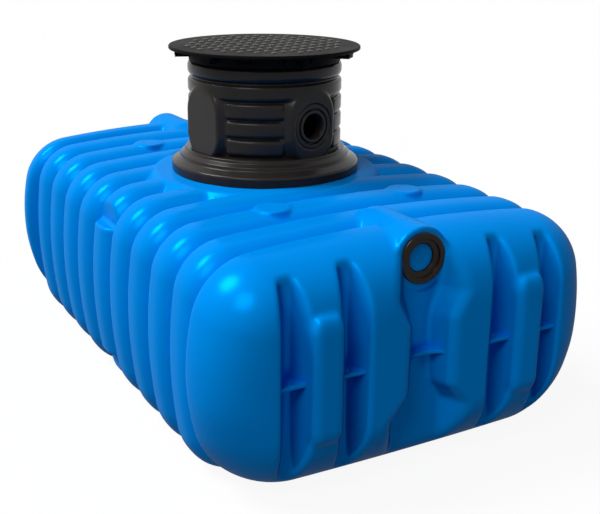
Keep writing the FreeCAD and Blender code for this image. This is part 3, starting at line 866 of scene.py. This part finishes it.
@dataclass
class AccessShaft:
    """Shaft on the neck: a stepped flange, two rings, three rows of bars between flat panels, and a port.

    Sizes in mm. A value named soft is the reach over which a crease is rounded.
    """

    turn: float = 10.0
    radius: float = 271.0
    valley: float = 257.0
    bore: float = 250.0
    foot: float = 770.0
    top: float = 1111.0
    ring_z: Tuple[float, ...] = (1026.5, 1085.0)
    ring_rounds: Tuple[float, ...] = (15.0, 22.0)
    bar_z: Tuple[float, ...] = (844.0, 905.0, 966.0)
    ring_half: float = 27.5
    ring_root: float = 221.0
    bar_round: float = 12.0
    bar_half: float = 104.0
    bar_soft: float = 3.0
    panel_half: float = 90.0
    panel_z: Tuple[float, float] = (785.0, 1036.0)
    panel_slope: float = 0.62
    panel_edge_soft: float = 7.0
    panel_soft: float = 6.0
    port_radius: float = 77.0
    port_depth: float = 33.0
    port_soft: float = 2.0
    bore_soft: float = 3.0
    top_soft: float = 5.0
    neck_z: float = 726.0
    flange_rims: Tuple[Corner, ...] = ((335.0, 758.0, 10.0), (304.0, 774.0, 9.0), (302.0, 785.0, 6.0),
                                       (287.0, 796.0, 6.0), (284.0, 806.0, 5.0))
    flange_foot_round: float = 1.5
    flange_rise: float = 2.0
    flange_spokes: int = 180
    sleeve: Tuple[Corner, ...] = (
        (42.0, -34.0, 0.0), (76.5, -34.0, 0.0), (76.5, -2.5, 1.0), (73.5, -2.5, 1.0), (73.0, -0.5, 1.0),
        (62.0, -0.5, 1.5), (61.0, -9.0, 1.5), (56.0, -9.0, 1.5), (55.0, 1.0, 2.5), (45.0, 1.0, 2.5),
        (42.0, -6.0, 2.0))
    sleeve_spokes: int = 112
    cell: Tuple[float, float, float] = (4.35, 4.35, 3.95)
    margin: float = 12.0

    @property
    def panel_middle(self) -> float:
        """Height of the middle of the panels and of the port."""
        return sum(self.panel_z) / 2.0

    def shape(self, x: Array, y: Array, z: Array) -> Array:
        """Tube with its rings, bars, panels and port, negative in the plastic."""
        r = np.hypot(x, y)
        angle = np.arctan2(x, -y) - math.radians(self.turn)
        quarter = math.pi / 2.0
        from_bar = (np.mod(angle, quarter) - quarter / 2.0) * self.radius
        from_panel = np.mod(angle + quarter / 2.0, quarter) - quarter / 2.0
        half_depth = (self.radius - self.ring_root) / 2.0
        inward = r - self.radius + half_depth
        body = r - self.valley + 0.0 * z
        for level, rounding in zip(self.ring_z, self.ring_rounds):
            ring = rounded_box((inward, z - level), (half_depth, self.ring_half), rounding)
            body = soft_min(body, ring, self.bar_soft)
        for level in self.bar_z:
            bar = rounded_box((from_bar, inward, z - level), (self.bar_half, half_depth, self.ring_half),
                              self.bar_round)
            body = soft_min(body, bar, self.bar_soft)
        across = r * np.sin(from_panel)
        out = r * np.cos(from_panel)
        height = z - self.panel_middle
        straight = (self.panel_z[1] - self.panel_z[0]) / 2.0 - self.panel_half
        stadium = np.hypot(across, np.maximum(np.abs(height) - straight, 0.0)) - self.panel_half
        flank = (stadium - self.panel_slope * (self.radius - out)) / math.hypot(1.0, self.panel_slope)
        body = soft_min(body, soft_max(out - self.radius, flank, self.panel_edge_soft), self.panel_soft)
        port = np.maximum(np.hypot(across, height) - self.port_radius, self.radius - self.port_depth - out)
        in_front = np.abs(np.mod(angle + math.pi, 2.0 * math.pi) - math.pi) < quarter / 2.0
        body = soft_max(body, -np.where(in_front, port, self.radius), self.port_soft)
        body = soft_max(body, self.bore - r, self.bore_soft)
        return soft_max(soft_max(body, z - self.top, self.top_soft), self.foot - z, self.bore_soft)

    def build(self, material: bpy.types.Material) -> None:
        """Meshes the tube and turns the flange and the port's sleeve.

        Args:
            material: finish of the shaft.
        """
        reach = self.radius + 3.0 * self.margin
        tube = SurfaceMesher(self.cell, relax=2).mesh("access_shaft", self.shape,
                                                      (-reach, -reach, self.foot - self.margin),
                                                      (reach, reach, self.top + self.margin))
        walls = ["shaft_%s_wall" % name for name in ("front_right", "rear_right", "rear_left", "front_left")]
        panels = ["shaft_%s_panel" % name for name in ("port", "right", "rear", "left")]
        seat(new_piece("access_shaft", tube, material), ["shaft_top_ring"] + walls + panels)
        rims = self.flange_rims
        crest = rims[-1][1] + self.flange_rise
        corners = ((self.bore, self.neck_z, 0.0), (rims[0][0], self.neck_z, self.flange_foot_round), *rims,
                   (self.valley, crest, 3.0), (self.bore, crest, 0.0))
        flange = lathe("shaft_flange_steps", corners, True, Matrix.Identity(4), self.flange_spokes)
        seat(new_piece("shaft_flange_steps", flange, material), ["shaft_flange"])
        place = (Matrix.Rotation(math.radians(self.turn), 4, "Z")
                 @ Matrix.Translation((0.0, -self.radius, self.panel_middle))
                 @ Matrix.Rotation(math.pi / 2.0, 4, "X"))
        sleeve = lathe("port_sleeve", self.sleeve, True, place, self.sleeve_spokes)
        seat(new_piece("port_sleeve", sleeve, material), ["shaft_port_seal"])


@dataclass(frozen=True)
class RimBlock:
    """Block under the cover's rim: bearing in degrees, sides, reach from the axis, and drops below the plate.

    Sizes in mm. The taper is the share of the block's depth that is left at its bottom.
    """

    bearing: float
    sides: Tuple[float, float]
    reach: float
    drops: Tuple[float, float]
    bevel: float
    taper: float = 1.0


@dataclass
class TreadCover:
    """Round cover with a tread of lens-shaped bumps, its collar, and the lugs under its rim. Sizes in mm."""

    radius: float = 335.0
    low: float = 1148.0
    top: float = 1160.0
    low_round: float = 3.0
    top_round: float = 4.0
    spokes: int = 180
    collar: float = 266.0
    collar_wall: float = 9.0
    collar_foot: float = 1109.0
    collar_round: float = 2.0
    bite: float = 0.5
    block_bite: float = 3.0
    tread_radius: float = 277.0
    bump: Tuple[float, float, float] = (11.5, 7.0, 4.0)
    bump_spans: Tuple[int, int] = (16, 8)
    rows: int = 21
    step: Tuple[float, float] = (44.0, 52.0)
    shear: float = 16.0
    blocks: Tuple[RimBlock, ...] = (
        RimBlock(-111.0, (-29.0, 29.0), 312.0, (24.0, 0.0), 2.0),
        RimBlock(44.0, (-29.0, 29.0), 312.0, (24.0, 0.0), 2.0),
        RimBlock(-66.0, (-11.0, 11.0), 302.0, (27.0, 0.0), 1.5, 0.35),
        RimBlock(-66.0, (-8.0, 2.0), 290.0, (30.0, 0.0), 1.0, 0.9),
        RimBlock(-40.0, (-31.5, -26.5), 291.0, (26.0, 0.0), 0.8),
        RimBlock(-40.0, (26.5, 31.5), 291.0, (26.0, 0.0), 0.8),
        RimBlock(-40.0, (-29.0, 29.0), 289.0, (26.0, 21.0), 0.8),
        RimBlock(-40.0, (-28.0, 28.0), 280.0, (22.0, 0.0), 0.8),
        RimBlock(-13.0, (-2.5, 2.5), 300.0, (30.0, 0.0), 0.8, 0.3),
        RimBlock(1.0, (-23.0, -17.0), 314.0, (30.0, 0.0), 0.8, 0.2),
        RimBlock(1.0, (17.0, 23.0), 314.0, (30.0, 0.0), 0.8, 0.2),
        RimBlock(1.0, (-13.0, 9.0), 296.0, (38.0, 6.0), 1.2, 0.8),
    )

    def tread_group(self, material: bpy.types.Material) -> bpy.types.GeometryNodeTree:
        """Builds the node group that sets bumps on a staggered lattice inside a circle.

        Args:
            material: finish of the bumps.

        Returns:
            The new node group.
        """
        tree = bpy.data.node_groups.new("tread_bumps", "GeometryNodeTree")
        tree.interface.new_socket("Geometry", in_out="INPUT", socket_type="NodeSocketGeometry")
        for name in ("Radius", "Step X", "Step Y", "Shear"):
            tree.interface.new_socket(name, in_out="INPUT", socket_type="NodeSocketFloat")
        for name in ("Bump Size", "Seat"):
            tree.interface.new_socket(name, in_out="INPUT", socket_type="NodeSocketVector")
        tree.interface.new_socket("Geometry", in_out="OUTPUT", socket_type="NodeSocketGeometry")
        given = add_node(tree, "NodeGroupInput").outputs
        gaps = self.rows - 1.0
        spans = [add_node(tree, "ShaderNodeMath", {0: given[name]}, {1: gaps}, operation="MULTIPLY")
                 for name in ("Step X", "Step Y")]
        grid = add_node(tree, "GeometryNodeMeshGrid",
                        {"Size X": spans[0].outputs[0], "Size Y": spans[1].outputs[0]},
                        {"Vertices X": self.rows, "Vertices Y": self.rows})
        start = add_node(tree, "GeometryNodeInputPosition")
        apart = add_node(tree, "ShaderNodeSeparateXYZ", {0: start.outputs[0]})
        drift = add_node(tree, "ShaderNodeMath", {0: apart.outputs["X"], 1: given["Shear"]},
                         operation="MULTIPLY")
        slip = add_node(tree, "ShaderNodeCombineXYZ", {"Y": drift.outputs[0]})
        lattice = add_node(tree, "GeometryNodeSetPosition",
                           {"Geometry": grid.outputs["Mesh"], "Offset": slip.outputs["Vector"]})
        place = add_node(tree, "GeometryNodeInputPosition")
        size = add_node(tree, "ShaderNodeVectorMath", {0: place.outputs[0]}, operation="LENGTH")
        beyond = add_node(tree, "FunctionNodeCompare", {"A": size.outputs["Value"], "B": given["Radius"]},
                          data_type="FLOAT", operation="GREATER_THAN")
        kept = add_node(tree, "GeometryNodeDeleteGeometry",
                        {"Geometry": lattice.outputs[0], "Selection": beyond.outputs["Result"]},
                        domain="POINT")
        ball = add_node(tree, "GeometryNodeMeshUVSphere",
                        inputs={"Segments": self.bump_spans[0], "Rings": self.bump_spans[1], "Radius": 1.0})
        smooth = add_node(tree, "GeometryNodeSetShadeSmooth", {"Geometry": ball.outputs["Mesh"]})
        bumps = add_node(tree, "GeometryNodeInstanceOnPoints",
                         {"Points": kept.outputs[0], "Instance": smooth.outputs[0],
                          "Scale": given["Bump Size"]})
        laid = add_node(tree, "GeometryNodeTransform",
                        {"Geometry": bumps.outputs[0], "Translation": given["Seat"]})
        real = add_node(tree, "GeometryNodeRealizeInstances", {"Geometry": laid.outputs[0]})
        done = add_node(tree, "GeometryNodeSetMaterial", {"Geometry": real.outputs[0]},
                        {"Material": material})
        add_node(tree, "NodeGroupOutput", {0: done.outputs[0]})
        return tree

    def tread(self, material: bpy.types.Material) -> None:
        """Runs the node group once and keeps its mesh.

        Args:
            material: finish of the bumps.
        """
        carrier = new_piece("tread_carrier", bpy.data.meshes.new("tread_carrier"), material)
        nodes = carrier.modifiers.new("tread", "NODES")
        tree = self.tread_group(material)
        nodes.node_group = tree
        values = {"Radius": self.tread_radius * MM, "Step X": self.step[0] * MM, "Step Y": self.step[1] * MM,
                  "Shear": self.shear / self.step[0], "Bump Size": [v * MM for v in self.bump],
                  "Seat": (0.0, 0.0, self.top * MM)}
        for item in tree.interface.items_tree:
            if item.in_out == "INPUT" and item.name in values:
                nodes[item.identifier] = values[item.name]
        bpy.context.view_layer.update()
        finished = carrier.evaluated_get(bpy.context.evaluated_depsgraph_get())
        mesh = bpy.data.meshes.new_from_object(finished)
        bpy.data.objects.remove(carrier)
        seat(new_piece("cover_tread", mesh, material))

    def rim_parts(self) -> bpy.types.Mesh:
        """Blocks, brackets, frames and gussets under the rim, twice round by half a turn.

        Returns:
            The new mesh.
        """
        work = bmesh.new()
        near = -self.collar + self.block_bite
        up = self.low + self.bite
        for half_turn in (0.0, 180.0):
            for block in self.blocks:
                place = Matrix.Rotation(math.radians(block.bearing + half_turn), 4, "Z")
                add_block(work, (block.sides[0], -block.reach, up - block.drops[0]),
                          (block.sides[1], near, up - block.drops[1]), block.bevel, place, block.taper)
        return settled("cover_rim_parts", work)

    def build(self, material: bpy.types.Material, highlit_tread: bpy.types.Material) -> None:
        """Turns the plate and collar, lays the tread and sets the parts under the rim.

        Args:
            material: finish of the cover.
            highlit_tread: finish of the tread, a lighter copy of the cover plastic that paints the highlights
                on the bumps.
        """
        upright = Matrix.Identity(4)
        outline = ((0.0, self.low, 0.0), (self.radius, self.low, self.low_round),
                   (self.radius, self.top, self.top_round), (0.0, self.top, 0.0))
        plate = lathe("cover_plate", outline, False, upright, self.spokes)
        seat(new_piece("cover_plate", plate, material), ["cover"])
        inner, head = self.collar - self.collar_wall, self.low + self.bite
        outline = ((inner, self.collar_foot, 0.0), (self.collar, self.collar_foot, self.collar_round),
                   (self.collar, head, 0.0), (inner, head, 0.0))
        collar = lathe("cover_neck", outline, True, upright, self.spokes)
        seat(new_piece("cover_neck", collar, material), ["cover_collar"])
        rim_parts = new_piece("cover_rim_parts", self.rim_parts(), material)
        seat(rim_parts, ["cover_lugs", "cover_gussets"])
        self.tread(highlit_tread)


@dataclass(frozen=True)
class Lamp:
    """Far light with its power, its spread in degrees and the direction in which it stands."""

    name: str
    power: float
    spread: float
    toward: Tuple[float, float, float]

    def hang(self) -> None:
        """Adds the light to the scene."""
        light = bpy.data.lights.new(self.name, "SUN")
        light.energy = self.power
        light.angle = math.radians(self.spread)
        lamp = bpy.data.objects.new(self.name, light)
        lamp.rotation_euler = Vector(self.toward).to_track_quat("Z", "Y").to_euler()
        bpy.context.scene.collection.objects.link(lamp)


@dataclass
class Studio:
    """White floor, soft light from above left, and the camera at the photograph's place. Sizes in mm."""

    eye: Tuple[float, float, float] = (-1618.0, -3148.0, 1574.0)
    azimuth: float = -29.307
    pitch: float = 18.732
    roll: float = 0.505
    lens: float = 59.774
    sensor: float = 36.0
    sight: float = 200000.0
    floor_half: float = 40000.0
    floor_bounce: float = 0.06
    floor_white: float = 0.9
    floor_glow: float = 0.92
    fill: float = 0.095
    lamps: Tuple[Lamp, ...] = (Lamp("key_light", 2.75, 24.0, (-0.5, 0.35, 0.79)),
                               Lamp("front_light", 1.1, 26.0, (-0.58, -0.34, 0.74)))

    def camera(self) -> None:
        """Stands the camera where the photograph was taken from."""
        data = bpy.data.cameras.new("photo_camera")
        data.sensor_fit = "HORIZONTAL"
        data.sensor_width = self.sensor
        data.lens = self.lens
        data.clip_end = self.sight * MM
        a, e, r = (math.radians(v) for v in (self.azimuth, self.pitch, self.roll))
        back = Vector((math.sin(a) * math.cos(e), -math.cos(a) * math.cos(e), math.sin(e)))
        right = Vector((math.cos(a), math.sin(a), 0.0))
        up = back.cross(right)
        turned_right = math.cos(r) * right + math.sin(r) * up
        turned_up = -math.sin(r) * right + math.cos(r) * up
        turn = Matrix((turned_right, turned_up, back)).transposed().to_4x4()
        camera = bpy.data.objects.new("photo_camera", data)
        camera.matrix_world = Matrix.Translation(Vector(self.eye) * MM) @ turn
        bpy.context.scene.collection.objects.link(camera)
        bpy.context.scene.camera = camera

    @staticmethod
    def straight_rays(tree: bpy.types.NodeTree) -> bpy.types.NodeSocket:
        """Adds nodes that give 1 for rays of the camera, of reflections and through glass.

        Args:
            tree: tree that gets the nodes.

        Returns:
            Output socket of the last node.
        """
        path = add_node(tree, "ShaderNodeLightPath")
        seen = path.outputs["Is Camera Ray"]
        for name in ("Is Glossy Ray", "Is Transmission Ray"):
            either = add_node(tree, "ShaderNodeMath", {0: seen, 1: path.outputs[name]}, operation="MAXIMUM")
            seen = either.outputs[0]
        return seen

    def floor(self) -> None:
        """Lays a wide white floor that keeps a faint shadow."""
        mesh = bpy.data.meshes.new("floor")
        half = self.floor_half * MM
        corners = [(-half, -half, 0.0), (half, -half, 0.0), (half, half, 0.0), (-half, half, 0.0)]
        mesh.from_pydata(corners, [], [(0, 1, 2, 3)])
        material = bpy.data.materials.new("white_studio_floor")
        material.use_nodes = True
        tree = material.node_tree
        tree.nodes.clear()
        seen = self.straight_rays(tree)
        shade = add_node(tree, "ShaderNodeMapRange", {"Value": seen},
                         {"To Min": self.floor_bounce, "To Max": self.floor_white})
        matte = add_node(tree, "ShaderNodeBsdfDiffuse", {"Color": shade.outputs["Result"]})
        glow = add_node(tree, "ShaderNodeEmission", inputs={"Color": (1.0, 1.0, 1.0, 1.0), "Strength": 1.0})
        share = add_node(tree, "ShaderNodeMath", {0: seen}, {1: self.floor_glow}, operation="MULTIPLY")
        mix = add_node(tree, "ShaderNodeMixShader",
                       {0: share.outputs[0], 1: matte.outputs[0], 2: glow.outputs[0]})
        add_node(tree, "ShaderNodeOutputMaterial", {"Surface": mix.outputs[0]})
        floor = new_piece("studio_floor", mesh, material)

    def sky(self) -> None:
        """Lets a pale sky fill the shadows and stay white behind the object."""
        world = bpy.data.worlds.new("studio_sky")
        world.use_nodes = True
        tree = world.node_tree
        tree.nodes.clear()
        level = add_node(tree, "ShaderNodeMapRange", {"Value": self.straight_rays(tree)},
                         {"To Min": self.fill, "To Max": 1.0})
        sky = add_node(tree, "ShaderNodeBackground", {"Strength": level.outputs["Result"]},
                       {"Color": (1.0, 1.0, 1.0, 1.0)})
        add_node(tree, "ShaderNodeOutputWorld", {"Surface": sky.outputs[0]})
        bpy.context.scene.world = world

    def build(self) -> None:
        """Sets up the camera, the floor and the light."""
        self.camera()
        self.floor()
        self.sky()
        for lamp in self.lamps:
            lamp.hang()
        bpy.context.scene.view_settings.view_transform = "Standard"


def main() -> None:
    """Builds and dresses every sub-assembly."""
    logging.basicConfig(level=logging.INFO, format="%(name)s: %(message)s")
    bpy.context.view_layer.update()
    tank = TANK_POLYETHYLENE.make()
    shaft = SHAFT_POLYPROPYLENE.make()
    cover = COVER_POLYPROPYLENE.make()
    seal = SEAL_RUBBER.make()
    Studio().build()
    shell = TankShell()
    shell.build(tank)
    EndFittings(shell).build(tank, seal)
    AccessShaft().build(shaft)
    TreadCover().build(cover, TREAD_PAINTED_HIGHLIGHT.make())
    finishes = {Slot.TANK: tank, Slot.SHAFT: shaft, Slot.COVER: cover, Slot.SEAL: seal}
    for part in frame["record"]["subparts"]:
        node = frame["nodes"][part["node"]]
        node.data.materials.clear()
        node.data.materials.append(finishes[Slot(part["material_slot"])])


if __name__ == "__main__":
    main()
